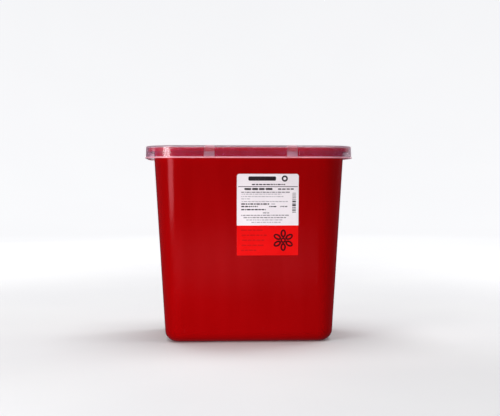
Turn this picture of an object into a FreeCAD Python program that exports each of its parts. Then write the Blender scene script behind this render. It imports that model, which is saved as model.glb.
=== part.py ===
import FreeCAD, Part
import math
import os
from FreeCAD import Vector

# Two-gallon sharps container: a drafted red tub, a clear snap-on lid and a clear rotor
# that turns in the lid to open, close and finally lock the drop opening.
# Frame: millimetres, +Z up, origin at the centre of the footprint, front face towards -Y.
#
# Every perimeter feature is a section swept round one core rectangle with square corners.
# A section is drawn in (u, z), where u is the distance outward from that core rectangle,
# so u is also the corner radius there, and all walls share their corner centres.

# ---------------------------------------------------------------- driving dimensions
LID_W = 266.7  # overall width, over the bead of the lid's skirt
LID_D = 184.2  # overall depth, over the bead of the lid's skirt
HEIGHT = 251.0  # foot to the lid's ledge
LID_R = 46.0  # plan corner radius of the bead

CORE_X = LID_W / 2 - LID_R  # half sizes of the core rectangle
CORE_Y = LID_D / 2 - LID_R

DRAFT = 0.0608  # wall draft of the tub, run over rise
TUB_U0 = 20.25  # outer face of the tub's wall at z = 0
WALL = 2.0
FLOOR_T = 2.4
FOOT_REC = 1.4  # recess of the underside inside the foot ring
FOOT_IN = 3.4  # inner edge of the foot ring, u
HEEL_R = 14.0  # outer fillet between wall and floor
HEEL_R_IN = 12.2
RIM_Z = 249.0  # top of the tub's rim
RIM_T = 2.2
RIM_U = 42.4  # outer face of the rim's turned-down lip
RIM_LIP_T = 1.8
RIM_LIP_Z = 243.5

LEDGE_GAP = 0.2  # ledge rides this far over the rim
LEDGE_T = 1.8
SKIRT_U_TOP = 44.9
SKIRT_U_BOT = 45.5
SKIRT_T = 1.6
SKIRT_Z = 235.2
BEAD_U = 46.0
BEAD_H = 1.8
PLUG_T = 1.5
PLUG_U_TOP = 32.5  # outer face of the plug rib inside the tub's mouth
PLUG_U_BOT = 31.9
PLUG_Z = 239.0
PANEL_Z = 248.8  # top of the sunk panel
PANEL_T = 1.8

COLLAR_RI = 72.2  # collar round the rotor's well
COLLAR_T = 1.6
COLLAR_TOP = 250.6
WELL_TOP = 243.8  # top of the well's floor
WELL_T = 1.8
POST_R = 8.0
POST_BORE = 6.3
POST_HEAD_R = 9.1
POST_HEAD_Z = 247.5
POST_TOP = 250.1
POST_SLOT = 1.6

OPEN_RI = 19.5  # drop opening, a sector
OPEN_RO = 61.0
OPEN_HALF = 71.0  # half angle, degrees
OPEN_CORNER = 7.0
CHUTE_Z = 234.0  # the chute lip below the opening ends here
CHUTE_T = 1.6

ROTOR_R = 70.2
ROTOR_Z = 244.5
ROTOR_T = 1.8
ROTOR_RIM_T = 1.6
ROTOR_RIM_TOP = 250.0
HUB_BORE = 8.06
HUB_R = 11.4
HUB_TOP = 247.2
HUB_BOT = 244.0
RUN_R = 65.2  # bearing ring under the rotor
RUN_W = 1.5
RUN_GAP = 0.15
SILL_T = 1.5  # lip round the rotor's opening
SILL_TOP = 249.0
GRIP_W = 13.0
GRIP_Y0 = 15.0
GRIP_Y1 = 63.0
GRIP_TOP = 250.2
GRIP_WALL = 1.7

LUG_R = 71.6  # stop lug on the rotor's rim
LUG_HALF = 3.0
STOP_RI = 70.7  # stop ribs on the collar
STOP_HALF = 2.2
LOCK_DEG = 12.0  # final lock, past the closed position
OPEN_DEG = -180.0
BUMP_RI = 71.9  # detent bumps either side of the lug
BUMP_HALF = 1.1

TAB_X = 52.0  # snap tabs on the long sides
TAB_W = 13.3
CATCH_TOP = 243.2
CATCH_NOSE_Z = 242.2
CATCH_BOT = 236.9
CATCH_U = 40.7
WINDOW_IN = 38.6  # mould window over each catch, from this u outward
WINDOW_OUT = 42.9

LABEL_W = 78.2
LABEL_X = 22.1
LABEL_Z0 = 112.0
LABEL_Z1 = 215.4
LABEL_T = 0.2
LABEL_R = 3.0

os.makedirs("parts", exist_ok=True)


# ---------------------------------------------------------------- helpers
def rounded(points):
    """Closed section from (a, b, radius) corners, as a list of 2D edges ('L'|'A', ...)."""
    n = len(points)
    out = []
    for i in range(n):
        ax, ay, _ = points[i - 1]
        bx, by, r = points[i]
        cx, cy, _ = points[(i + 1) % n]
        ux, uy = ax - bx, ay - by
        vx, vy = cx - bx, cy - by
        lu, lv = math.hypot(ux, uy), math.hypot(vx, vy)
        ux, uy, vx, vy = ux / lu, uy / lu, vx / lv, vy / lv
        if r <= 0:
            out.append(((bx, by), None, (bx, by)))
            continue
        turn = math.acos(max(-1.0, min(1.0, ux * vx + uy * vy)))
        t = r / math.tan(turn / 2)
        p = (bx + ux * t, by + uy * t)
        q = (bx + vx * t, by + vy * t)
        mx, my = ux + vx, uy + vy
        lm = math.hypot(mx, my)
        d = r / math.sin(turn / 2)
        m = (bx + mx / lm * (d - r), by + my / lm * (d - r))
        out.append((p, m, q))
    return out


def wire_of(corners, place):
    """Wire through rounded() corners. place maps a 2D point to a Vector."""
    edges = []
    n = len(corners)
    for i in range(n):
        p, m, q = corners[i]
        if m is not None:
            edges.append(Part.Arc(place(p), place(m), place(q)).toShape())
        nxt = corners[(i + 1) % n][0]
        if math.hypot(nxt[0] - q[0], nxt[1] - q[1]) > 1e-6:
            edges.append(Part.makeLine(place(q), place(nxt)))
    return Part.Wire(edges)


def sweep_round(points):
    """Sweeps a (u, z, radius) section round the core rectangle as one closed ring."""
    c = rounded(points)
    parts = []
    for sx, sy, a0 in ((1, 1, 0), (-1, 1, 90), (-1, -1, 180), (1, -1, 270)):
        centre = Vector(sx * CORE_X, sy * CORE_Y, 0)
        f = Part.Face(wire_of(c, lambda p: Vector(p[0], 0, p[1])))
        f.rotate(Vector(0, 0, 0), Vector(0, 0, 1), a0)
        f.translate(centre)
        parts.append(f.revolve(centre, Vector(0, 0, 1), 90))
    for sx in (1, -1):
        f = Part.Face(
            wire_of(c, lambda p: Vector(sx * (CORE_X + p[0]), -CORE_Y, p[1]))
        )
        parts.append(f.extrude(Vector(0, 2 * CORE_Y, 0)))
    for sy in (1, -1):
        f = Part.Face(
            wire_of(c, lambda p: Vector(-CORE_X, sy * (CORE_Y + p[0]), p[1]))
        )
        parts.append(f.extrude(Vector(2 * CORE_X, 0, 0)))
    ring = parts[0].multiFuse(parts[1:])
    return ring.removeSplitter()


def spin(points):
    """Revolves an (r, z, radius) section about the Z axis."""
    f = Part.Face(wire_of(rounded(points), lambda p: Vector(p[0], 0, p[1])))
    return f.revolve(Vector(0, 0, 0), Vector(0, 0, 1), 360)


def core_box(z0, z1):
    return Part.makeBox(2 * CORE_X, 2 * CORE_Y, z1 - z0, Vector(-CORE_X, -CORE_Y, z0))


def polar(r, deg, z=0.0):
    a = math.radians(deg)
    return Vector(r * math.cos(a), r * math.sin(a), z)


def sector(ri, ro, mid, half, z0, z1, corner):
    """Sector-shaped block with its four upright edges rounded."""
    a0, a1 = mid - half, mid + half
    w = Part.Wire(
        [
            Part.makeLine(polar(ri, a0, z0), polar(ro, a0, z0)),
            Part.Arc(polar(ro, a0, z0), polar(ro, mid, z0), polar(ro, a1, z0)).toShape(),
            Part.makeLine(polar(ro, a1, z0), polar(ri, a1, z0)),
            Part.Arc(polar(ri, a1, z0), polar(ri, mid, z0), polar(ri, a0, z0)).toShape(),
        ]
    )
    s = Part.Face(w).extrude(Vector(0, 0, z1 - z0))
    if corner > 0:
        up = [
            e
            for e in s.Edges
            if len(e.Vertexes) == 2
            and abs(e.Vertexes[0].X - e.Vertexes[1].X) < 1e-6
            and abs(e.Vertexes[0].Y - e.Vertexes[1].Y) < 1e-6
        ]
        s = s.makeFillet(corner, up)
    return s


def grown_sector(grow, mid, z0, z1):
    """The drop opening grown outward by an even margin on every side."""
    ri, ro = OPEN_RI - grow, OPEN_RO + grow
    # straight sides move out square to themselves
    half = OPEN_HALF
    base = sector(ri, ro, mid, half, z0, z1, 0)
    if grow > 0:
        for s in (-1, 1):
            a = math.radians(mid + s * half)
            along = Vector(math.cos(a), math.sin(a), 0)
            side = Vector(-math.sin(a) * s, math.cos(a) * s, 0)
            p0 = along * ri
            p1 = along * ro
            blk = Part.Face(
                Part.makePolygon([p0, p1, p1 + side * grow, p0 + side * grow, p0])
            )
            blk.translate(Vector(0, 0, z0))
            base = base.fuse(blk.extrude(Vector(0, 0, z1 - z0)))
        ring = Part.makeCylinder(ro, z1 - z0, Vector(0, 0, z0)).cut(
            Part.makeCylinder(ri, z1 - z0, Vector(0, 0, z0))
        )
        base = base.common(ring).removeSplitter()
    up = [
        e
        for e in base.Edges
        if len(e.Vertexes) == 2
        and abs(e.Vertexes[0].X - e.Vertexes[1].X) < 1e-6
        and abs(e.Vertexes[0].Y - e.Vertexes[1].Y) < 1e-6
    ]
    # the outer corners swell with the margin, and the inner ones too
    return base.makeFillet(OPEN_CORNER + grow * 0.9, up)


def round_top(shape, z, r):
    """Rounds every edge that lies in the plane z; leaves the shape alone if it can't."""
    es = [
        e
        for e in shape.Edges
        if abs(e.BoundBox.ZMin - z) < 1e-4 and abs(e.BoundBox.ZMax - z) < 1e-4
    ]
    try:
        s = shape.makeFillet(r, es)
        if s.isValid() and s.Volume > 0:
            return s
    except Exception:
        pass
    print("edge rounding skipped at z", z)
    return shape


def rounded_box(x0, y0, z0, x1, y1, z1, r_plan, r_top=0.0):
    b = Part.makeBox(x1 - x0, y1 - y0, z1 - z0, Vector(x0, y0, z0))
    up = [
        e
        for e in b.Edges
        if abs(e.Vertexes[0].X - e.Vertexes[1].X) < 1e-6
        and abs(e.Vertexes[0].Y - e.Vertexes[1].Y) < 1e-6
    ]
    if r_plan > 0:
        b = b.makeFillet(r_plan, up)
    if r_top > 0:
        b = round_top(b, z1, r_top)
    return b


def one(shape, name):
    s = shape.removeSplitter()
    ss = s.Solids
    if len(ss) != 1:
        raise SystemExit("%s has %d solids" % (name, len(ss)))
    s = ss[0]
    if not s.isValid():
        raise SystemExit("%s is not valid" % name)
    print("%-14s volume %.1f cm3, %d faces" % (name, s.Volume / 1000, len(s.Faces)))
    return s


# ---------------------------------------------------------------- tub
def wall_u(z):
    """Outer face of the tub's wall."""
    return TUB_U0 + DRAFT * z


def make_tub():
    floor_top = FOOT_REC + FLOOR_T
    # one section: foot ring, heel, outer wall, rim with turned-down lip, inner wall, floor
    pts = [
        (0.0, FOOT_REC, 0),
        (FOOT_IN, FOOT_REC, 0.5),
        (FOOT_IN + 0.9, 0.0, 0.5),
        (wall_u(0.0), 0.0, HEEL_R),
        (wall_u(RIM_Z - RIM_T), RIM_Z - RIM_T, 1.6),
        (RIM_U - RIM_LIP_T, RIM_Z - RIM_T, 0.7),
        (RIM_U - RIM_LIP_T, RIM_LIP_Z, 0.5),
        (RIM_U, RIM_LIP_Z, 0.5),
        (RIM_U, RIM_Z, 1.2),
        (wall_u(RIM_Z) - WALL, RIM_Z, 0.9),
        (wall_u(floor_top) - WALL, floor_top, HEEL_R_IN),
        (0.0, floor_top, 0),
    ]
    ring = sweep_round(pts)
    floor = core_box(FOOT_REC, floor_top)
    tub = ring.fuse(floor).removeSplitter()
    # gate scar and its dimple in the middle of the underside
    dimple = spin(
        [(0, FOOT_REC, 0), (9, FOOT_REC, 0.4), (7.6, FOOT_REC + 0.7, 0.4), (0, FOOT_REC + 0.7, 0)]
    )
    scar = spin([(0, FOOT_REC + 0.1, 0), (1.7, FOOT_REC + 0.1, 0.3), (1.7, FOOT_REC + 0.8, 0), (0, FOOT_REC + 0.8, 0)])
    tub = tub.cut(dimple).fuse(scar)
    # eight nesting stops inside the mouth keep stacked empty tubs from jamming
    for sx in (-1, 1):
        for y in (-26.0, 26.0):
            tub = tub.fuse(nest_stop_x(sx, y))
    for sy in (-1, 1):
        for x in (-30.0, 30.0):
            tub = tub.fuse(nest_stop_y(sy, x))
    return one(tub, "tub")


STOP_Z0, STOP_Z1, STOP_W, STOP_OUT = 196.0, 226.0, 3.0, 2.2


def stop_profile(place):
    """Side view of a nesting stop, in (distance in from the outer wall face line, z)."""
    pts = [
        (wall_u(STOP_Z0) - WALL + 0.4, STOP_Z0, 0),
        (wall_u(STOP_Z1) - WALL + 0.4, STOP_Z1, 0),
        (wall_u(STOP_Z1) - WALL - STOP_OUT, STOP_Z1, 0.8),
        (wall_u(STOP_Z0 + 7) - WALL - STOP_OUT, STOP_Z0 + 7.0, 2.0),
    ]
    return wire_of(rounded(pts), place)


def nest_stop_x(sx, y):
    w = stop_profile(lambda p: Vector(sx * (CORE_X + p[0]), y - STOP_W / 2, p[1]))
    return Part.Face(w).extrude(Vector(0, STOP_W, 0))


def nest_stop_y(sy, x):
    w = stop_profile(lambda p: Vector(x - STOP_W / 2, sy * (CORE_Y + p[0]), p[1]))
    return Part.Face(w).extrude(Vector(STOP_W, 0, 0))


# ---------------------------------------------------------------- lid
LEDGE_Z0 = RIM_Z + LEDGE_GAP
LEDGE_Z1 = LEDGE_Z0 + LEDGE_T
assert abs(LEDGE_Z1 - HEIGHT) < 1e-6


def skirt_u(z):
    """Outer face of the lid's skirt."""
    return SKIRT_U_BOT + (SKIRT_U_TOP - SKIRT_U_BOT) * (z - SKIRT_Z) / (
        HEIGHT - SKIRT_Z
    )


def plug_u(z):
    return PLUG_U_BOT + (PLUG_U_TOP - PLUG_U_BOT) * (z - PLUG_Z) / (LEDGE_Z0 - PLUG_Z)


# snap tabs: (which side, position along it)
TABS = [("y", -1, -TAB_X), ("y", -1, TAB_X), ("y", 1, -TAB_X), ("y", 1, TAB_X), ("x", -1, 0.0), ("x", 1, 0.0)]


def along(side, sgn, at, half, points):
    """Extrudes a (u, z, radius) section along one side of the perimeter, half each way."""
    c = rounded(points)
    if side == "y":
        w = wire_of(c, lambda p: Vector(at - half, sgn * (CORE_Y + p[0]), p[1]))
        return Part.Face(w).extrude(Vector(2 * half, 0, 0))
    w = wire_of(c, lambda p: Vector(sgn * (CORE_X + p[0]), at - half, p[1]))
    return Part.Face(w).extrude(Vector(0, 2 * half, 0))


def make_lid():
    si = skirt_u
    pts = [
        (0.0, PANEL_Z - PANEL_T, 0),
        (plug_u(PANEL_Z - PANEL_T) - PLUG_T, PANEL_Z - PANEL_T, 0.6),
        (plug_u(PLUG_Z) - PLUG_T, PLUG_Z, 0.5),
        (plug_u(PLUG_Z), PLUG_Z, 0.7),
        (plug_u(LEDGE_Z0), LEDGE_Z0, 0.8),
        (si(LEDGE_Z0) - SKIRT_T, LEDGE_Z0, 0.8),
        (si(SKIRT_Z) - SKIRT_T, SKIRT_Z, 0.4),
        (BEAD_U, SKIRT_Z, 0.6),
        (BEAD_U, SKIRT_Z + BEAD_H, 0.25),
        (si(SKIRT_Z + BEAD_H), SKIRT_Z + BEAD_H, 0.25),
        (si(HEIGHT), HEIGHT, 1.5),
        (plug_u(HEIGHT) - PLUG_T - 0.4, HEIGHT, 0.8),
        (plug_u(PANEL_Z) - PLUG_T - 0.9, PANEL_Z, 0.7),
        (0.0, PANEL_Z, 0),
    ]
    lid = sweep_round(pts).fuse(core_box(PANEL_Z - PANEL_T, PANEL_Z)).removeSplitter()
    ro = COLLAR_RI + COLLAR_T
    z_floor = WELL_TOP - WELL_T
    lid = lid.cut(
        Part.makeCylinder(ro - 0.6, 40, Vector(0, 0, z_floor - 20))
    )
    # well: collar and floor in one section
    well = spin(
        [
            (0, z_floor, 0),
            (ro, z_floor, 1.2),
            (ro, PANEL_Z, 0.0),
            (ro, COLLAR_TOP, 0.6),
            (COLLAR_RI, COLLAR_TOP, 0.6),
            (COLLAR_RI, WELL_TOP, 0.8),
            (0, WELL_TOP, 0),
        ]
    )
    lid = lid.fuse(well)
    # chute lip under the drop opening
    chute = grown_sector(CHUTE_T, -90, CHUTE_Z, WELL_TOP)
    lid = lid.fuse(chute)
    lid = lid.cut(grown_sector(0, -90, CHUTE_Z - 5, WELL_TOP + 5))
    # snap post for the rotor
    post = spin(
        [
            (0, WELL_TOP - 0.5, 0),
            (POST_R, WELL_TOP - 0.5, 0),
            (POST_R, POST_HEAD_Z, 0.0),
            (POST_HEAD_R, POST_HEAD_Z + 0.25, 0.25),
            (POST_HEAD_R, POST_HEAD_Z + 0.9, 0.3),
            (POST_R - 0.4, POST_TOP, 0.4),
            (POST_BORE, POST_TOP, 0.3),
            (POST_BORE, WELL_TOP + 0.4, 0.4),
            (0, WELL_TOP + 0.4, 0),
        ]
    )
    for k in (0, 90):
        slot = Part.makeBox(
            30, POST_SLOT, 8, Vector(-15, -POST_SLOT / 2, WELL_TOP + 1.6)
        )
        slot.rotate(Vector(0, 0, 0), Vector(0, 0, 1), k + 45)
        post = post.cut(slot)
    lid = lid.fuse(post)

    # stop ribs and detent bumps inside the collar
    def collar_rib(mid, half, ri, z1):
        s = sector(ri, COLLAR_RI + 0.4, mid, half, WELL_TOP - 0.2, z1, 0)
        return s

    lock_at = LOCK_DEG + LUG_HALF + STOP_HALF + 0.6
    open_at = OPEN_DEG - LUG_HALF - STOP_HALF - 0.6
    for a in (lock_at, open_at):
        lid = lid.fuse(collar_rib(a, STOP_HALF, STOP_RI, 249.4))
    for a in (
        LUG_HALF + 2.4,
        -LUG_HALF - 2.4,
        OPEN_DEG + LUG_HALF + 2.4,
    ):
        lid = lid.fuse(collar_rib(a, BUMP_HALF, BUMP_RI, 248.6))
    # stiffening bars on the panel either side of the well
    for sx in (-1, 1):
        for x, h in ((86.0, 30.0), (96.0, 38.0), (106.0, 30.0)):
            lid = lid.fuse(
                rounded_box(
                    sx * x - 1.3, -h, PANEL_Z - 0.3, sx * x + 1.3, h, PANEL_Z + 1.3, 1.25, 0.9
                )
            )
    # tab pads behind the skirt, and the mould windows over the catches
    for side, sgn, at in TABS:
        pad = along(
            side,
            sgn,
            at,
            TAB_W / 2,
            [
                (RIM_U + 0.35, CATCH_TOP + 0.35, 0),
                (si(CATCH_TOP) - SKIRT_T + 0.3, CATCH_TOP + 0.35, 0),
                (si(LEDGE_Z0) - SKIRT_T + 0.3, LEDGE_Z0 + 0.3, 0),
                (RIM_U + 0.35, LEDGE_Z0 + 0.3, 0),
            ],
        )
        lid = lid.fuse(pad)
        win = along(
            side,
            sgn,
            at,
            TAB_W / 2 - 0.8,
            [
                (WINDOW_IN, LEDGE_Z0 - 1.0, 0),
                (WINDOW_OUT - 0.25, LEDGE_Z0 - 1.0, 0),
                (WINDOW_OUT - 0.25, HEIGHT + 1.0, 0),
                (WINDOW_IN, HEIGHT + 1.0, 0),
            ],
        )
        lid = lid.cut(win)
    return one(lid, "lid")


def make_catches():
    """Six snap catches under the rim, moulded on the inside of the skirt."""
    out = []
    for side, sgn, at in TABS:
        out.append(
            along(
                side,
                sgn,
                at,
                TAB_W / 2,
                [
                    (CATCH_U, CATCH_TOP, 0.35),
                    (CATCH_U, CATCH_NOSE_Z, 0.35),
                    (skirt_u(CATCH_BOT) - SKIRT_T, CATCH_BOT, 0),
                    (skirt_u(CATCH_TOP) - SKIRT_T, CATCH_TOP, 0),
                ],
            )
        )
    return out


# ---------------------------------------------------------------- rotor
def make_rotor():
    z0, z1 = ROTOR_Z, ROTOR_Z + ROTOR_T
    disc = spin(
        [
            (HUB_BORE, HUB_BOT, 0.25),
            (HUB_R, HUB_BOT, 0.3),
            (HUB_R, z0, 0),
            (RUN_R - RUN_W / 2, z0, 0),
            (RUN_R - RUN_W / 2, WELL_TOP + RUN_GAP, 0.2),
            (RUN_R + RUN_W / 2, WELL_TOP + RUN_GAP, 0.2),
            (RUN_R + RUN_W / 2, z0, 0),
            (ROTOR_R, z0, 0.6),
            (ROTOR_R, ROTOR_RIM_TOP, 0.7),
            (ROTOR_R - ROTOR_RIM_T, ROTOR_RIM_TOP, 0.7),
            (ROTOR_R - ROTOR_RIM_T, z1, 0.8),
            (HUB_R, z1, 0.6),
            (HUB_R, HUB_TOP, 0.35),
            (HUB_BORE, HUB_TOP, 0.25),
        ]
    )
    sill = grown_sector(SILL_T, 90, z0, SILL_TOP)
    sill = round_top(sill, SILL_TOP, 0.55)
    rotor = disc.fuse(sill)
    hole = grown_sector(0, 90, z0 - 5, SILL_TOP + 5)
    rotor = rotor.cut(hole)
    # hollow grip bar across the closed half
    bar = rounded_box(
        -GRIP_W / 2, -GRIP_Y1, z0, GRIP_W / 2, -GRIP_Y0, GRIP_TOP, 4.0, 1.6
    )
    rotor = rotor.fuse(bar)
    core = rounded_box(
        -GRIP_W / 2 + GRIP_WALL,
        -GRIP_Y1 + GRIP_WALL,
        z0 - 1,
        GRIP_W / 2 - GRIP_WALL,
        -GRIP_Y0 - GRIP_WALL,
        GRIP_TOP - GRIP_WALL,
        2.3,
        0.6,
    )
    rotor = rotor.cut(core)
    # grip ridges across the bar
    for i in range(6):
        y = -GRIP_Y0 - 9.0 - i * 6.0
        c = Part.makeCylinder(
            0.9, GRIP_W - 5.0, Vector(-(GRIP_W - 5.0) / 2, y, GRIP_TOP - 0.25), Vector(1, 0, 0)
        )
        rotor = rotor.fuse(c)
    # raised turn arrows either side of the grip
    for s in (-1, 1):
        rotor = rotor.fuse(arrow(s, z1))
    # stop lug on the rim
    lug = sector(ROTOR_R - 0.6, LUG_R, 0, LUG_HALF, z0 + 0.4, 248.4, 0)
    rotor = rotor.fuse(lug)
    return one(rotor, "rotor")


ARROW_R, ARROW_W, ARROW_H = 43.0, 3.2, 1.1


def arrow(s, z):
    """Raised curved arrow that points away from the grip bar."""
    a0, a1 = (-90 + s * 17.0), (-90 + s * 38.0)
    lo, hi = min(a0, a1), max(a0, a1)
    band = sector(
        ARROW_R - ARROW_W / 2,
        ARROW_R + ARROW_W / 2,
        (lo + hi) / 2,
        (hi - lo) / 2,
        z - 0.2,
        z + ARROW_H,
        0,
    )
    tip = polar(ARROW_R, a1 + s * 11.0)
    b0 = polar(ARROW_R - 5.0, a1 - s * 0.3)
    b1 = polar(ARROW_R + 5.0, a1 - s * 0.3)
    head = Part.Face(Part.makePolygon([tip, b0, b1, tip]))
    head.translate(Vector(0, 0, z - 0.2))
    return band.fuse(head.extrude(Vector(0, 0, ARROW_H + 0.2)))


# ---------------------------------------------------------------- label
def make_label():
    """Front label, a thin sheet on the drafted front wall."""
    slope = math.atan(DRAFT)
    length = (LABEL_Z1 - LABEL_Z0) / math.cos(slope)
    y0 = -(CORE_Y + wall_u(LABEL_Z0))
    b = Part.makeBox(LABEL_W, LABEL_T, length, Vector(-LABEL_W / 2, -LABEL_T, 0))
    edges = [
        e
        for e in b.Edges
        if abs(e.Vertexes[0].X - e.Vertexes[1].X) < 1e-6
        and abs(e.Vertexes[0].Z - e.Vertexes[1].Z) < 1e-6
    ]
    b = b.makeFillet(LABEL_R, edges)
    b.rotate(Vector(0, 0, 0), Vector(1, 0, 0), math.degrees(slope))
    b.translate(Vector(LABEL_X, y0, LABEL_Z0))
    return b


# ---------------------------------------------------------------- write
tub = make_tub()
lid = make_lid()
catches = make_catches()
rotor = make_rotor()
label = make_label()

tub.exportStep("parts/tub.step")
lid.exportStep("parts/lid.step")
Part.makeCompound(catches).exportStep("parts/snap_catches.step")
rotor.exportStep("parts/rotor.step")
label.exportStep("parts/front_label.step")
print("bounds", Part.makeCompound([tub, lid, rotor, label] + catches).BoundBox)
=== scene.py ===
import math
import random

import bmesh
import bpy
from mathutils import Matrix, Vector
from mathutils.geometry import delaunay_2d_cdt


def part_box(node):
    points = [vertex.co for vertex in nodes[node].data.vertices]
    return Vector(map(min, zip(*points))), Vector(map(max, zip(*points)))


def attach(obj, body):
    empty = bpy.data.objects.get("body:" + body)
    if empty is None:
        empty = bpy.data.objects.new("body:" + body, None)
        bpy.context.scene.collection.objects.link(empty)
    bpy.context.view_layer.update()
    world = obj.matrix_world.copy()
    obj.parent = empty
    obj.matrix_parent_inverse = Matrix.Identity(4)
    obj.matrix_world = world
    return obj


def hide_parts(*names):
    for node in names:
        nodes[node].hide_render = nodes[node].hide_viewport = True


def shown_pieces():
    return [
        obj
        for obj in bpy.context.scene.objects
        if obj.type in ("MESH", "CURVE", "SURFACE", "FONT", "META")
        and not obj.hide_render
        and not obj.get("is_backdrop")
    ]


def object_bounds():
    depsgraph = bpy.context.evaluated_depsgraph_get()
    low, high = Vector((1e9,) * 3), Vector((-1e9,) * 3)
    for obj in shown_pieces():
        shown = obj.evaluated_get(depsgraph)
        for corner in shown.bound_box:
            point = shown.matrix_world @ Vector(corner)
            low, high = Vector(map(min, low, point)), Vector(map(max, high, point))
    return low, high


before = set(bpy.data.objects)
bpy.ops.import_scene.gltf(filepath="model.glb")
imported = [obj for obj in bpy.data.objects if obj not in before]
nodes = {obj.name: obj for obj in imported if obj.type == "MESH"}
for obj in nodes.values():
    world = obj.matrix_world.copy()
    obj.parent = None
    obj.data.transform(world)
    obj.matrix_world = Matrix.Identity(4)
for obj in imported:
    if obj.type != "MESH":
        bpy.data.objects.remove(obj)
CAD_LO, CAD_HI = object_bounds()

MM = 0.001
scene = bpy.context.scene


# ------------------------------------------------------------------ node helpers
class Tree:
    """Short hand for building a material's node tree."""

    def __init__(self, name):
        self.mat = bpy.data.materials.new(name)
        self.mat.use_nodes = True
        self.nt = self.mat.node_tree
        self.nt.nodes.clear()
        self.out = self.nt.nodes.new("ShaderNodeOutputMaterial")
        self.coord = self.nt.nodes.new("ShaderNodeTexCoord").outputs["Object"]

    def new(self, kind, **sockets):
        n = self.nt.nodes.new(kind)
        for k, v in sockets.items():
            self.put(n.inputs[k.replace("_", " ")], v)
        return n

    def put(self, socket, v):
        if isinstance(v, bpy.types.NodeSocket):
            self.nt.links.new(v, socket)
        elif v is not None:
            socket.default_value = v

    def math(self, op, a, b=None, c=None, clamp=False):
        n = self.nt.nodes.new("ShaderNodeMath")
        n.operation = op
        n.use_clamp = clamp
        for i, v in enumerate((a, b, c)):
            self.put(n.inputs[i], v)
        return n.outputs[0]

    def noise(self, scale, detail=2.0, rough=0.5, stretch=None, shift=(0, 0, 0), turn=(0, 0, 0), distort=0.0):
        """3D noise in object space. scale is features per metre; stretch scales each axis."""
        vec = self.coord
        if stretch or any(shift) or any(turn):
            m = self.nt.nodes.new("ShaderNodeMapping")
            m.inputs["Location"].default_value = shift
            m.inputs["Rotation"].default_value = [math.radians(a) for a in turn]
            m.inputs["Scale"].default_value = stretch or (1, 1, 1)
            self.nt.links.new(vec, m.inputs["Vector"])
            vec = m.outputs[0]
        n = self.nt.nodes.new("ShaderNodeTexNoise")
        n.inputs["Scale"].default_value = scale
        n.inputs["Detail"].default_value = detail
        n.inputs["Roughness"].default_value = rough
        n.inputs["Distortion"].default_value = distort
        self.nt.links.new(vec, n.inputs["Vector"])
        return n.outputs["Fac"]

    def ramp(self, v, lo, hi, out_lo=0.0, out_hi=1.0, smooth=True):
        n = self.nt.nodes.new("ShaderNodeMapRange")
        n.interpolation_type = "SMOOTHSTEP" if smooth else "LINEAR"
        n.clamp = True
        self.put(n.inputs["Value"], v)
        n.inputs["From Min"].default_value = lo
        n.inputs["From Max"].default_value = hi
        n.inputs["To Min"].default_value = out_lo
        n.inputs["To Max"].default_value = out_hi
        return n.outputs["Result"]

    def mix(self, fac, a, b):
        n = self.nt.nodes.new("ShaderNodeMix")
        n.data_type = "RGBA"
        self.put(n.inputs["Factor"], fac)
        self.put(n.inputs[6], a if isinstance(a, bpy.types.NodeSocket) else (*a, 1.0))
        self.put(n.inputs[7], b if isinstance(b, bpy.types.NodeSocket) else (*b, 1.0))
        return n.outputs[2]

    def xyz(self):
        n = self.nt.nodes.new("ShaderNodeSeparateXYZ")
        self.nt.links.new(self.coord, n.inputs[0])
        return n.outputs

    def bump(self, height, distance, strength=1.0, normal=None):
        n = self.nt.nodes.new("ShaderNodeBump")
        n.inputs["Strength"].default_value = strength
        n.inputs["Distance"].default_value = distance
        self.nt.links.new(height, n.inputs["Height"])
        if normal is not None:
            self.nt.links.new(normal, n.inputs["Normal"])
        return n.outputs["Normal"]

    def finish(self, shader):
        self.nt.links.new(shader, self.out.inputs["Surface"])
        return self.mat


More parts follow.
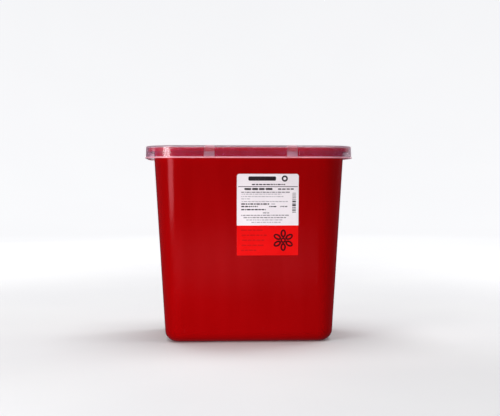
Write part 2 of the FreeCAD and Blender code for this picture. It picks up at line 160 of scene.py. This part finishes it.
# ------------------------------------------------------------------ materials
def make_red():
    """Gloss red moulded polypropylene with flow marks, faint orange peel and rubbing wear."""
    t = Tree("red_polypropylene")
    x, y, z = t.xyz()
    cloud = t.noise(7.0, 3.0, 0.5, distort=0.4)
    flow = t.noise(1.0, 3.0, 0.55, stretch=(46, 46, 2.6), shift=(3, 1, 0), distort=0.6)
    # rubbing marks: fine upright scratches in patches, denser near the heel
    fine = t.noise(1.0, 3.0, 0.6, stretch=(620, 620, 11), shift=(0, 5, 2))
    lines = t.ramp(fine, 0.70, 0.78)
    patch = t.ramp(t.noise(13.0, 3.0, 0.6, shift=(9, 2, 4)), 0.52, 0.68)
    low = t.ramp(z, 0.05, 0.006)
    marks = t.math("MULTIPLY", lines, t.math("MULTIPLY_ADD", low, 0.6, t.math("MULTIPLY", patch, 0.4), clamp=True))
    fine2 = t.noise(1.0, 2.0, 0.6, stretch=(16, 16, 760), shift=(4, 0, 7), turn=(0, 4, 0))
    cross = t.math("MULTIPLY", t.ramp(fine2, 0.73, 0.79), t.ramp(t.noise(10.0, 2.0, shift=(1, 7, 3)), 0.55, 0.72))
    wear = t.math("MAXIMUM", marks, t.math("MULTIPLY", cross, 0.7))
    grit = t.ramp(t.noise(1500.0, 2.0, 0.6), 0.3, 0.75)

    body = t.mix(t.ramp(cloud, 0.3, 0.7), (0.292, 0.0002, 0.0005), (0.324, 0.0004, 0.0010))
    body = t.mix(t.ramp(flow, 0.35, 0.75, 0.0, 0.5), body, (0.344, 0.0007, 0.0013))
    body = t.mix(t.math("MULTIPLY", wear, 0.30), body, (0.55, 0.045, 0.05))
    rough = t.math("MULTIPLY_ADD", t.ramp(flow, 0.3, 0.7), 0.04, 0.115)
    rough = t.math("MULTIPLY_ADD", grit, 0.03, rough)
    rough = t.math("MULTIPLY_ADD", wear, 0.22, rough, clamp=True)

    wave = t.noise(16.0, 1.0, 0.5, stretch=(1, 1, 0.45))
    peel = t.noise(420.0, 2.0, 0.5)
    n1 = t.bump(wave, 0.00035)
    n2 = t.bump(peel, 0.000016, normal=n1)
    n3 = t.bump(grit, 0.000005, normal=n2)
    n4 = t.bump(wear, 0.00001, strength=0.6, normal=n3)
    p = t.new("ShaderNodeBsdfPrincipled", Base_Color=body, Roughness=rough, Normal=n4, IOR=1.49)
    p.inputs["Specular IOR Level"].default_value = 0.32
    p.inputs["Specular Tint"].default_value = (1.0, 0.30, 0.36, 1)
    return t.finish(p.outputs[0])


def make_clear(name, milk, rough0, tint, tabs=False, rosy=False):
    """Clear polypropylene with a faint haze. Lamps pass through it, so what it covers is lit."""
    t = Tree(name)
    x, y, z = t.xyz()
    haze = t.noise(38.0, 3.0, 0.6, distort=0.5)
    swirl = t.noise(9.0, 3.0, 0.55, shift=(2, 5, 1), distort=1.2)
    wave = t.noise(26.0, 1.0, 0.5, shift=(6, 1, 2))
    peel = t.noise(520.0, 2.0, 0.55)
    scr = t.noise(1.0, 2.0, 0.6, stretch=(14, 620, 60), turn=(0, 0, 31), shift=(1, 1, 0))
    scr2 = t.noise(1.0, 2.0, 0.6, stretch=(700, 12, 60), turn=(0, 0, -18), shift=(5, 3, 0))
    rub = t.math(
        "MULTIPLY",
        t.math("MAXIMUM", t.ramp(scr, 0.72, 0.79), t.ramp(scr2, 0.72, 0.79)),
        t.ramp(t.noise(17.0, 2.0, shift=(8, 8, 8)), 0.45, 0.65),
    )
    soft = t.ramp(haze, 0.3, 0.75)
    frost = None
    if tabs:
        # the six snap tabs are frosted: two on each long side and one on each short side
        hx, hy = CAD_HI.x, CAD_HI.y
        # depth below the outside of the skirt, measured in plan from a rounded rectangle
        r = 0.046
        qx = t.math("SUBTRACT", t.math("ABSOLUTE", x), hx - r)
        qy = t.math("SUBTRACT", t.math("ABSOLUTE", y), hy - r)
        ax, ay = t.math("MAXIMUM", qx, 0.0), t.math("MAXIMUM", qy, 0.0)
        out = t.math("SQRT", t.math("ADD", t.math("MULTIPLY", ax, ax), t.math("MULTIPLY", ay, ay)))
        out = t.math("ADD", out, t.math("MINIMUM", t.math("MAXIMUM", qx, qy), 0.0))
        # painted highlight: the bead along the skirt's foot is painted paler, for the bright line where the thick
        # edge gathers light
        foot = CAD_HI.z - 0.0158
        shell = t.ramp(out, r - 0.0050, r - 0.0042)
        bead = t.math("MULTIPLY", shell, t.ramp(z, foot + 0.0021, foot + 0.0013))
        # painted highlight: the brim, the top band of the skirt, is painted paler towards its top edge, for its lit
        # top line
        brim = t.math("MULTIPLY", shell, t.ramp(z, CAD_HI.z - 0.0044, CAD_HI.z + 0.0002))
        near_y = t.ramp(t.math("ABSOLUTE", y), hy - 0.0062, hy - 0.0052, smooth=False)
        off_x = t.math("ABSOLUTE", t.math("SUBTRACT", t.math("ABSOLUTE", x), 0.052))
        long_side = t.math("MULTIPLY", near_y, t.ramp(off_x, 0.0069, 0.0064, smooth=False))
        near_x = t.ramp(t.math("ABSOLUTE", x), hx - 0.0062, hx - 0.0052, smooth=False)
        short_side = t.math("MULTIPLY", near_x, t.ramp(t.math("ABSOLUTE", y), 0.0069, 0.0064, smooth=False))
        tab = t.math("MAXIMUM", long_side, short_side)
        frost = t.math("MAXIMUM", tab, t.math("MAXIMUM", bead, brim))
    rough = t.math("MULTIPLY_ADD", soft, 0.05, rough0)
    rough = t.math("MULTIPLY_ADD", rub, 0.25, rough, clamp=True)
    if frost is not None:
        rough = t.math("MULTIPLY_ADD", frost, 0.22, rough, clamp=True)
    n1 = t.bump(wave, 0.0003)
    n2 = t.bump(peel, 0.000012, normal=n1)
    n3 = t.bump(rub, 0.000008, normal=n2)
    colour = t.mix(t.ramp(swirl, 0.3, 0.7), tint, tuple(c * 0.955 for c in tint))
    if frost is not None:
        # painted highlight: the bead and the brim are painted pale pink, for the bright lines of light along the
        # skirt's foot and the lid's top edge, tinted by the red behind them
        colour = t.mix(bead, colour, (1.0, 0.60, 0.67))
        colour = t.mix(brim, colour, (1.0, 0.80, 0.86))
    p = t.new("ShaderNodeBsdfPrincipled", Base_Color=colour, Roughness=rough, Normal=n3, IOR=1.49)
    if frost is not None:
        amount = t.math("MULTIPLY_ADD", soft, -0.6 * milk, 1.0 - milk)
        amount = t.math("MULTIPLY_ADD", tab, -0.02, amount, clamp=True)
        # the bead and the brim let less through, so that their painted pale colour shows
        amount = t.math("MULTIPLY_ADD", bead, -0.26, amount, clamp=True)
        amount = t.math("MULTIPLY_ADD", brim, -0.16, amount, clamp=True)
        t.put(p.inputs["Transmission Weight"], amount)
    else:
        t.put(p.inputs["Transmission Weight"], t.math("MULTIPLY_ADD", soft, -0.6 * milk, 1.0 - milk, clamp=True))
    # Light scattered in the plastic veils what is behind it, more where the wall is met at a slant
    # and the way through it is longer. The thick skirt carries the red of the rim behind it as a
    # rose veil, and the thin panel and the rotor have only a faint neutral one.
    facing = t.nt.nodes.new("ShaderNodeLayerWeight").outputs["Facing"]
    slant = t.math("POWER", facing, 1.5)
    plain_veil = rose_veil = None
    if not rosy:
        plain_veil = t.math("MULTIPLY_ADD", slant, 0.05, t.ramp(haze, 0.3, 0.75, 0.006, 0.016))
    if tabs or rosy:
        rose_veil = t.math("MULTIPLY_ADD", slant, 0.30, t.ramp(haze, 0.3, 0.75, 0.026, 0.040))
    neutral = (0.62, 0.52, 0.57)
    veil = t.new("ShaderNodeBsdfDiffuse", Normal=n3)
    if tabs or rosy:
        share = rose_veil
        veil_colour = t.mix(slant, (0.56, 0.06, 0.31), (0.66, 0.50, 0.55))
        if tabs:
            share = t.math("MULTIPLY_ADD", t.math("SUBTRACT", rose_veil, plain_veil), shell, plain_veil, clamp=True)
            veil_colour = t.mix(shell, neutral, veil_colour)
        t.put(veil.inputs["Color"], veil_colour)
    else:
        share = plain_veil
        veil.inputs["Color"].default_value = (*neutral, 1.0)
    body = t.nt.nodes.new("ShaderNodeMixShader")
    t.put(body.inputs[0], share)
    t.nt.links.new(p.outputs[0], body.inputs[1])
    t.nt.links.new(veil.outputs[0], body.inputs[2])
    path = t.nt.nodes.new("ShaderNodeLightPath")
    clear = t.new("ShaderNodeBsdfTransparent")
    clear.inputs["Color"].default_value = (0.95, 0.93, 0.945, 1)
    mixer = t.nt.nodes.new("ShaderNodeMixShader")
    t.nt.links.new(path.outputs["Is Shadow Ray"], mixer.inputs[0])
    t.nt.links.new(body.outputs[0], mixer.inputs[1])
    t.nt.links.new(clear.outputs[0], mixer.inputs[2])
    return t.finish(mixer.outputs[0])


def make_film(name, colour, dark, rough0):
    """Printed label film: satin laminate with a faint fibre and ink mottle."""
    t = Tree(name)
    mottle = t.noise(900.0, 3.0, 0.6)
    cloud = t.noise(60.0, 3.0, 0.5, shift=(3, 3, 3))
    fac = t.math("MULTIPLY_ADD", t.ramp(mottle, 0.35, 0.7), 0.45, t.math("MULTIPLY", t.ramp(cloud, 0.35, 0.7), 0.55))
    col = t.mix(fac, colour, dark)
    rough = t.math("MULTIPLY_ADD", t.ramp(cloud, 0.3, 0.7), 0.06, rough0)
    wave = t.noise(55.0, 2.0, 0.5, stretch=(1, 1, 0.6), shift=(1, 6, 2))
    grain = t.noise(2600.0, 2.0, 0.6)
    n1 = t.bump(wave, 0.00006)
    n2 = t.bump(grain, 0.000004, normal=n1)
    p = t.new("ShaderNodeBsdfPrincipled", Base_Color=col, Roughness=rough, Normal=n2, IOR=1.47)
    p.inputs["Specular IOR Level"].default_value = 0.14
    return t.finish(p.outputs[0])


RED = make_red()
CLEAR = make_clear("clear_polypropylene", 0.004, 0.085, (0.955, 0.905, 0.935), tabs=True)
ROTOR_CLEAR = make_clear("clear_polypropylene_rotor", 0.008, 0.09, (0.945, 0.90, 0.93))
FROST = make_clear("frosted_polypropylene", 0.05, 0.26, (0.96, 0.80, 0.85), rosy=True)


def paint(obj, mat):
    obj.data.materials.clear()
    obj.data.materials.append(mat)


paint(nodes["tub"], RED)
paint(nodes["lid"], CLEAR)
paint(nodes["rotor"], ROTOR_CLEAR)
paint(nodes["snap_catches"], FROST)


# ------------------------------------------------------------------ label
def rounded_rect(x0, y0, x1, y1, r, seg=4, r_low=None):
    """Closed loop, anticlockwise. r_low is the radius of the two lower corners, if it differs."""
    most = min((x1 - x0) / 2, (y1 - y0) / 2) - 1e-4
    r = min(r, most)
    q = r if r_low is None else min(r_low, most)
    pts = []
    for cx, cy, rad, a0 in (
        (x1 - r, y1 - r, r, 0), (x0 + r, y1 - r, r, 90), (x0 + q, y0 + q, q, 180), (x1 - q, y0 + q, q, 270)
    ):
        for i in range(seg + 1):
            a = math.radians(a0 + 90 * i / seg)
            pts.append((cx + rad * math.cos(a), cy + rad * math.sin(a)))
    return pts


def ring_points(cx, cy, rx, ry, n, turn=0.0):
    out = []
    c, s = math.cos(turn), math.sin(turn)
    for i in range(n):
        a = 2 * math.pi * i / n
        px, py = rx * math.cos(a), ry * math.sin(a)
        out.append((cx + px * c - py * s, cy + px * s + py * c))
    return out


def inside(p, loop):
    x, y = p
    hit = False
    j = len(loop) - 1
    for i in range(len(loop)):
        xi, yi = loop[i]
        xj, yj = loop[j]
        if (yi > y) != (yj > y) and x < (xj - xi) * (y - yi) / (yj - yi) + xi:
            hit = not hit
        j = i
    return hit


# Lines of plain bars on the label: (left, right, centre below the top edge, bar height, ink), millimetres.
BAR_LINES = (
    (19.0, 61.0, 13.4, 1.45, "black"),
    (5.5, 67.0, 23.2, 1.15, "grey"),
    (6.0, 56.5, 25.6, 0.95, "pale"),
    (5.5, 59.0, 28.7, 0.95, "pale"),
    (5.5, 18.0, 31.6, 0.95, "pale"),
    (6.0, 64.5, 35.0, 1.00, "pale"),
    (5.5, 41.0, 38.1, 1.65, "black"),
    (43.5, 48.5, 38.1, 1.00, "pale"),
    (5.5, 26.5, 41.3, 1.65, "black"),
    (41.0, 50.0, 41.3, 1.50, "black"),
    (55.0, 64.0, 41.3, 1.40, "grey"),
    (5.5, 36.5, 45.2, 1.65, "black"),
    (33.0, 41.0, 49.4, 1.15, "grey"),
    (5.5, 66.0, 52.4, 1.10, "grey"),
    (8.5, 62.5, 55.4, 1.10, "grey"),
    (12.0, 59.0, 58.4, 1.05, "pale"),
    (18.5, 55.5, 61.3, 1.00, "pale"),
)
FAINT_LINES = ((5.5, 33.0), (6.0, 38.0), (6.5, 35.0), (6.0, 34.0), (5.5, 25.0))
FIELD_SPLIT = 0.631  # share of the label's height that the white field takes


def label_art(w, h):
    """Shapes on the label, in millimetres from its lower left corner: (layer colour, loop)."""
    rng = random.Random(41)
    art = []
    split = h * (1 - FIELD_SPLIT)
    art.append(("red", [(-1, -1), (w + 1, -1), (w + 1, split), (-1, split)]))

    def bar(x0, x1, down, high, ink, r):
        art.append((ink, rounded_rect(x0, h - down - high / 2, x1, h - down + high / 2, r, 3)))

    def words(x0, x1, down, high, ink, gap=0.8, lo=1.2, hi=5.0):
        """A line of plain word-length bars."""
        a = x0
        while a < x1 - lo * 0.6:
            b = min(a + rng.uniform(lo, hi), x1)
            if x1 - b < lo:
                b = x1
            bar(a, b, down, high, ink, high * 0.3)
            a = b + gap

    # heading: a plain bar, a plain ring, and a rule under them
    bar(14.5, 49.5, 5.9, 5.4, "black", 1.6)
    art.append(("black", ring_points(60.5, h - 5.9, 3.9, 3.9, 40)))
    art.append(("white", ring_points(60.5, h - 5.9, 1.9, 1.9, 32)))
    bar(1.8, w - 1.2, 16.1, 0.85, "black", 0.1)
    # title
    words(9.5, 45.0, 19.1, 2.4, "black", 1.1, 6.0, 13.0)
    words(52.0, 72.0, 19.2, 1.6, "black", 1.0, 2.5, 5.5)
    for line in BAR_LINES:
        words(*line)
    # plain stripes at the right
    down = 24.0
    for i, high in enumerate((0.5, 0.3, 0.7, 0.3, 0.9, 0.4, 0.3, 0.6, 1.6, 0.3, 0.6, 2.2, 0.3, 0.9, 0.4, 1.3, 0.3, 0.6)):
        bar(70.2, 74.8, down + high / 2, high, "grey" if i < 8 else "black", 0.04)
        down += high + (0.55, 0.85, 0.6, 1.0)[i % 4]
        if down > 50.0:
            break
    # red field: faint bars and a plain six-petalled rosette
    for i, (x0, x1) in enumerate(FAINT_LINES):
        words(x0, x1, h - split + 6.0 + 6.4 * i, 1.6, "deep", 0.9, 3.0, 8.0)
    cx, cy = w * 0.755, split * 0.505
    for i in range(6):
        a = math.radians(60 * i + 30)
        art.append(("ink", ring_points(cx + 8.6 * math.cos(a), cy + 8.6 * math.sin(a), 5.2, 3.5, 36, a)))
    for i in range(6):
        a = math.radians(60 * i + 30)
        art.append(("red", ring_points(cx + 8.8 * math.cos(a), cy + 8.8 * math.sin(a), 2.9, 1.35, 30, a)))
    art.append(("ink", ring_points(cx, cy, 3.4, 3.4, 40)))
    art.append(("red", ring_points(cx, cy, 1.4, 1.4, 28)))
    return art


FILM = {
    "white": make_film("label_white", (0.87, 0.80, 0.835), (0.81, 0.74, 0.78), 0.42),
    "red": make_film("label_red", (0.79, 0.0006, 0.0010), (0.73, 0.0004, 0.0008), 0.40),
    "black": make_film("label_black", (0.018, 0.012, 0.016), (0.03, 0.022, 0.027), 0.46),
    "grey": make_film("label_grey", (0.13, 0.115, 0.13), (0.17, 0.15, 0.17), 0.46),
    "pale": make_film("label_pale", (0.33, 0.30, 0.33), (0.38, 0.35, 0.38), 0.46),
    "deep": make_film("label_deep", (0.55, 0.003, 0.003), (0.50, 0.002, 0.003), 0.42),
    "ink": make_film("label_ink", (0.040, 0.001, 0.003), (0.055, 0.002, 0.004), 0.46),
}


def make_label():
    """The printed label as one closed thin sheet, its print made as regions of the sheet."""
    lo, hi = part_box("front_label")
    thick = 0.2
    slope = math.atan(0.0608)
    w = (hi.x - lo.x) / MM
    h = ((hi.z - lo.z) / MM - thick * math.sin(slope)) / math.cos(slope)
    origin = Vector(((lo.x + hi.x) / 2 - w / 2 * MM, hi.y, lo.z + thick * MM * math.sin(slope)))
    up = Vector((0, -math.sin(slope), math.cos(slope)))
    outward = Vector((0, -math.cos(slope), -math.sin(slope)))

    outline = rounded_rect(0, 0, w, h, 3.0, 8, r_low=0.6)
    art = label_art(w, h)
    verts, edges = [], []

    def add(loop):
        base = len(verts)
        verts.extend(Vector(p) for p in loop)
        edges.extend((base + i, base + (i + 1) % len(loop)) for i in range(len(loop)))

    add(outline)
    split = art[0][1][2][1]
    verts.extend((Vector((0, split)), Vector((w, split))))
    edges.append((len(verts) - 2, len(verts) - 1))
    for ink, loop in art[1:]:
        add(loop)
    cv, ce, cf, _, _, _ = delaunay_2d_cdt(verts, edges, [], 0, 1e-5)

    names = list(FILM)
    boxes = []
    for ink, loop in art:
        xs, ys = [p[0] for p in loop], [p[1] for p in loop]
        boxes.append((min(xs), min(ys), max(xs), max(ys)))
    bm = bmesh.new()
    front = [bm.verts.new(origin + Vector((v.x * MM, 0, 0)) + up * (v.y * MM) + outward * (thick * MM)) for v in cv]
    for f in cf:
        c = sum((cv[i] for i in f), Vector((0, 0))) / len(f)
        if not inside(c, outline):
            continue
        ink = "white"
        for (name, loop), b in zip(art, boxes):
            if b[0] <= c.x <= b[2] and b[1] <= c.y <= b[3] and inside(c, loop):
                ink = name
        face = bm.faces.new([front[i] for i in f])
        face.material_index = names.index(ink)
    bm.normal_update()
    if sum(f.normal.dot(outward) for f in bm.faces) < 0:
        bmesh.ops.reverse_faces(bm, faces=bm.faces[:])
    loose = [v for v in bm.verts if not v.link_faces]
    bmesh.ops.delete(bm, geom=loose, context="VERTS")
    bmesh.ops.dissolve_limit(
        bm, angle_limit=math.radians(1), verts=bm.verts[:], edges=bm.edges[:], delimit={"MATERIAL"}
    )
    # edge band and back, so that the sheet is closed
    rim = [e for e in bm.edges if len(e.link_faces) == 1]
    ext = bmesh.ops.extrude_edge_only(bm, edges=rim)["geom"]
    low = [v for v in ext if isinstance(v, bmesh.types.BMVert)]
    bmesh.ops.translate(bm, verts=low, vec=-outward * ((thick - 0.01) * MM))
    band = [f for f in ext if isinstance(f, bmesh.types.BMFace)]
    for f in band:
        f.material_index = names.index("white")
    back_edges = [e for e in bm.edges if len(e.link_faces) == 1]
    made = bmesh.ops.contextual_create(bm, geom=back_edges)["faces"]
    for f in made:
        f.material_index = names.index("white")
    bmesh.ops.recalc_face_normals(bm, faces=bm.faces[:])
    me = bpy.data.meshes.new("printed_label")
    bm.to_mesh(me)
    bm.free()
    for n in names:
        me.materials.append(FILM[n])
    obj = bpy.data.objects.new("printed_label", me)
    scene.collection.objects.link(obj)
    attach(obj, "container")
    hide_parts("front_label")
    return obj


make_label()


# ------------------------------------------------------------------ studio
def make_floor():
    """Pale floor that sweeps up into a round wall a long way off."""
    t = Tree("pale_floor")
    n = t.noise(3.0, 3.0, 0.5)
    col = t.mix(t.ramp(n, 0.3, 0.7), (0.70, 0.70, 0.71), (0.72, 0.72, 0.725))
    p = t.new("ShaderNodeBsdfPrincipled", Base_Color=col, Roughness=0.7)
    p.inputs["Specular IOR Level"].default_value = 0.2
    x, y, z = t.xyz()
    away = t.math("SQRT", t.math("ADD", t.math("MULTIPLY", x, x), t.math("MULTIPLY", y, y)))
    p.inputs["Emission Color"].default_value = (0.98, 0.985, 1.0, 1)
    t.put(p.inputs["Emission Strength"], t.ramp(away, 0.3, 2.4, 0.0, 0.72))
    # light that has glanced off the object meets a darker room, as in front of a studio table
    void = t.new("ShaderNodeEmission", Color=(0.86, 0.72, 0.95, 1), Strength=0.09)
    gate = t.nt.nodes.new("ShaderNodeMixShader")
    hops = t.nt.nodes.new("ShaderNodeLightPath").outputs["Glossy Depth"]
    t.nt.links.new(t.math("GREATER_THAN", hops, 0.5), gate.inputs[0])
    t.nt.links.new(p.outputs[0], gate.inputs[1])
    t.nt.links.new(void.outputs[0], gate.inputs[2])
    mat = t.finish(gate.outputs[0])
    mat.cycles.emission_sampling = "NONE"
    prof = [(0.0, 0.0)]
    r0, rc, top = 2.6, 1.4, 4.4
    for i in range(1, 13):
        prof.append((r0 * i / 12, 0.0))
    for i in range(1, 17):
        a = math.radians(90 * i / 16)
        prof.append((r0 + rc * math.sin(a), rc * (1 - math.cos(a))))
    prof.append((r0 + rc, top))
    n_seg = 96
    bm = bmesh.new()
    centre = bm.verts.new((0, 0, 0))
    rings = []
    for r, zz in prof[1:]:
        rings.append(
            [bm.verts.new((r * math.cos(2 * math.pi * j / n_seg), r * math.sin(2 * math.pi * j / n_seg), zz)) for j in range(n_seg)]
        )
    for j in range(n_seg):
        bm.faces.new((centre, rings[0][j], rings[0][(j + 1) % n_seg]))
    for a, b in zip(rings, rings[1:]):
        for j in range(n_seg):
            k = (j + 1) % n_seg
            bm.faces.new((a[j], b[j], b[k], a[k]))
    for f in bm.faces:
        f.smooth = True
    me = bpy.data.meshes.new("studio_floor")
    bm.to_mesh(me)
    bm.free()
    me.materials.append(mat)
    obj = bpy.data.objects.new("studio_floor", me)
    scene.collection.objects.link(obj)
    obj.visible_diffuse = False
    obj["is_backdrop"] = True
    return obj


def softbox(name, at, target, width, height, power, colour=(1, 1, 1), spread=180.0):
    data = bpy.data.lights.new(name, "AREA")
    data.shape = "RECTANGLE"
    data.size, data.size_y = width, height
    data.energy = power
    data.color = colour
    data.spread = math.radians(spread)
    obj = bpy.data.objects.new(name, data)
    scene.collection.objects.link(obj)
    obj.location = at
    obj.rotation_euler = (Vector(target) - Vector(at)).to_track_quat("-Z", "Y").to_euler()
    obj.visible_camera = False
    return obj


floor = make_floor()
softbox("key_strip", (-0.90, -0.82, 0.36), (-0.08, -0.04, 0.16), 0.45, 0.72, 7.3)
broad = softbox("broad_left", (-0.24, -0.52, 0.14), (-0.06, -0.08, 0.10), 0.36, 0.28, 0.08)
low = softbox("low_front", (-0.10, -0.35, 0.05), (-0.08, -0.06, 0.06), 0.46, 0.08, 0.74)
fill = softbox("fill_right", (1.5, -0.3, 0.8), (0, 0, 0.12), 0.5, 1.2, 4.0)
top = softbox("top", (0.0, 0.1, 1.9), (0, 0, 0.2), 1.5, 1.2, 26.0)
rear_left = softbox("rear_left", (-1.0, 1.3, 0.9), (0, 0, 0.12), 1.0, 1.4, 9.0)
rear_right = softbox("rear_right", (1.4, 0.75, 0.7), (0, 0, 0.12), 0.7, 1.2, 9.0)
for lamp in (broad, low, top, rear_left, rear_right):
    lamp.visible_glossy = False
    lamp.visible_transmission = False
# narrow strips that put a soft band of sheen on the lid from above
for name, at, wide, tall, power in (
    ("sheen_left", (-0.80, 1.35, 0.95), 0.34, 0.80, 1.0),
    ("sheen_right", (0.85, 1.35, 0.95), 0.34, 0.80, 1.0),
    ("sheen_top", (0.26, 0.25, 1.9), 0.26, 1.3, 1.3),
):
    softbox(name, at, (0, 0, 0.2), wide, tall, power).visible_transmission = False

# the near lights are for the object alone, so that they leave no bright patch on the floor
lit = bpy.data.collections.new("object_only")
scene.collection.children.link(lit)
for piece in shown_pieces():
    lit.objects.link(piece)
broad.light_linking.receiver_collection = lit
low.light_linking.receiver_collection = lit

# a glow from behind and a fill from the right, for the clear plastic alone, so that the red stays deep
clear_parts = bpy.data.collections.new("clear_parts")
scene.collection.children.link(clear_parts)
for name in ("lid", "rotor", "snap_catches"):
    clear_parts.objects.link(nodes[name])
glow = softbox("lid_glow", (0.5, 2.4, 0.75), (0, 0, 0.25), 2.6, 1.0, 5.7)
lid_fill = softbox("lid_fill", (0.75, -0.75, 0.30), (0.1, 0, 0.24), 0.4, 0.3, 1.2)
lid_fill.visible_glossy = False
end_left = softbox("lid_end_left", (-1.2, 0.15, 0.28), (-0.12, 0, 0.243), 0.20, 0.30, 0.5)
end_right = softbox("lid_end_right", (1.25, 0.65, 0.30), (0.12, 0, 0.243), 0.90, 0.35, 0.75)
for lamp in (glow, lid_fill, end_left, end_right):
    lamp.visible_transmission = False
    lamp.light_linking.receiver_collection = clear_parts

# the fill from the right leaves a streak on the lid's rounded end, so it lights all but the clear parts
others = bpy.data.collections.new("not_clear")
scene.collection.children.link(others)
for piece in list(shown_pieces()) + [floor]:
    if piece.name not in clear_parts.objects:
        others.objects.link(piece)
fill.light_linking.receiver_collection = others

# the surround: bright where the camera sees it, dimmer as the light that it gives
world = bpy.data.worlds.new("studio")
scene.world = world
world.use_nodes = True
wt = world.node_tree
wt.nodes.clear()
dim = wt.nodes.new("ShaderNodeBackground")
dim.inputs["Color"].default_value = (0.97, 0.97, 1.0, 1)
dim.inputs["Strength"].default_value = 0.25
bright = wt.nodes.new("ShaderNodeBackground")
bright.inputs["Color"].default_value = (0.98, 0.98, 1.0, 1)
bright.inputs["Strength"].default_value = 0.94
path = wt.nodes.new("ShaderNodeLightPath")


def world_math(op, a, b):
    n = wt.nodes.new("ShaderNodeMath")
    n.operation = op
    for i, v in enumerate((a, b)):
        if isinstance(v, bpy.types.NodeSocket):
            wt.links.new(v, n.inputs[i])
        else:
            n.inputs[i].default_value = v
    return n.outputs[0]


# straight through clear plastic the surround is as bright as beside it
bounced = world_math("GREATER_THAN", world_math("ADD", path.outputs["Glossy Depth"], path.outputs["Diffuse Depth"]), 0.5)
through = world_math("GREATER_THAN", path.outputs["Transmission Depth"], 0.5)
seen = world_math("MAXIMUM", path.outputs["Is Camera Ray"], world_math("MULTIPLY", through, world_math("SUBTRACT", 1.0, bounced)))
blend = wt.nodes.new("ShaderNodeMixShader")
wt.links.new(seen, blend.inputs[0])
wt.links.new(dim.outputs[0], blend.inputs[1])
wt.links.new(bright.outputs[0], blend.inputs[2])
wout = wt.nodes.new("ShaderNodeOutputWorld")
wt.links.new(blend.outputs[0], wout.inputs["Surface"])
world.cycles_visibility.glossy = False

scene.view_settings.view_transform = "Standard"
scene.view_settings.look = "None"
scene.view_settings.exposure = 0.0

# ------------------------------------------------------------------ camera
cam_data = bpy.data.cameras.new("camera")
cam = bpy.data.objects.new("camera", cam_data)
scene.collection.objects.link(cam)
cam_data.sensor_width = 36.0
cam_data.lens = 69.75
cam_data.clip_start, cam_data.clip_end = 0.02, 50.0
pitch = math.radians(1.558)
cam.location = (-0.0684, -1.2982, 0.2056)
aim = Vector((0.05565 * math.cos(pitch), 0.99845 * math.cos(pitch), -math.sin(pitch)))
cam.rotation_mode = "QUATERNION"
cam.rotation_quaternion = aim.to_track_quat("-Z", "Y")
scene.camera = cam
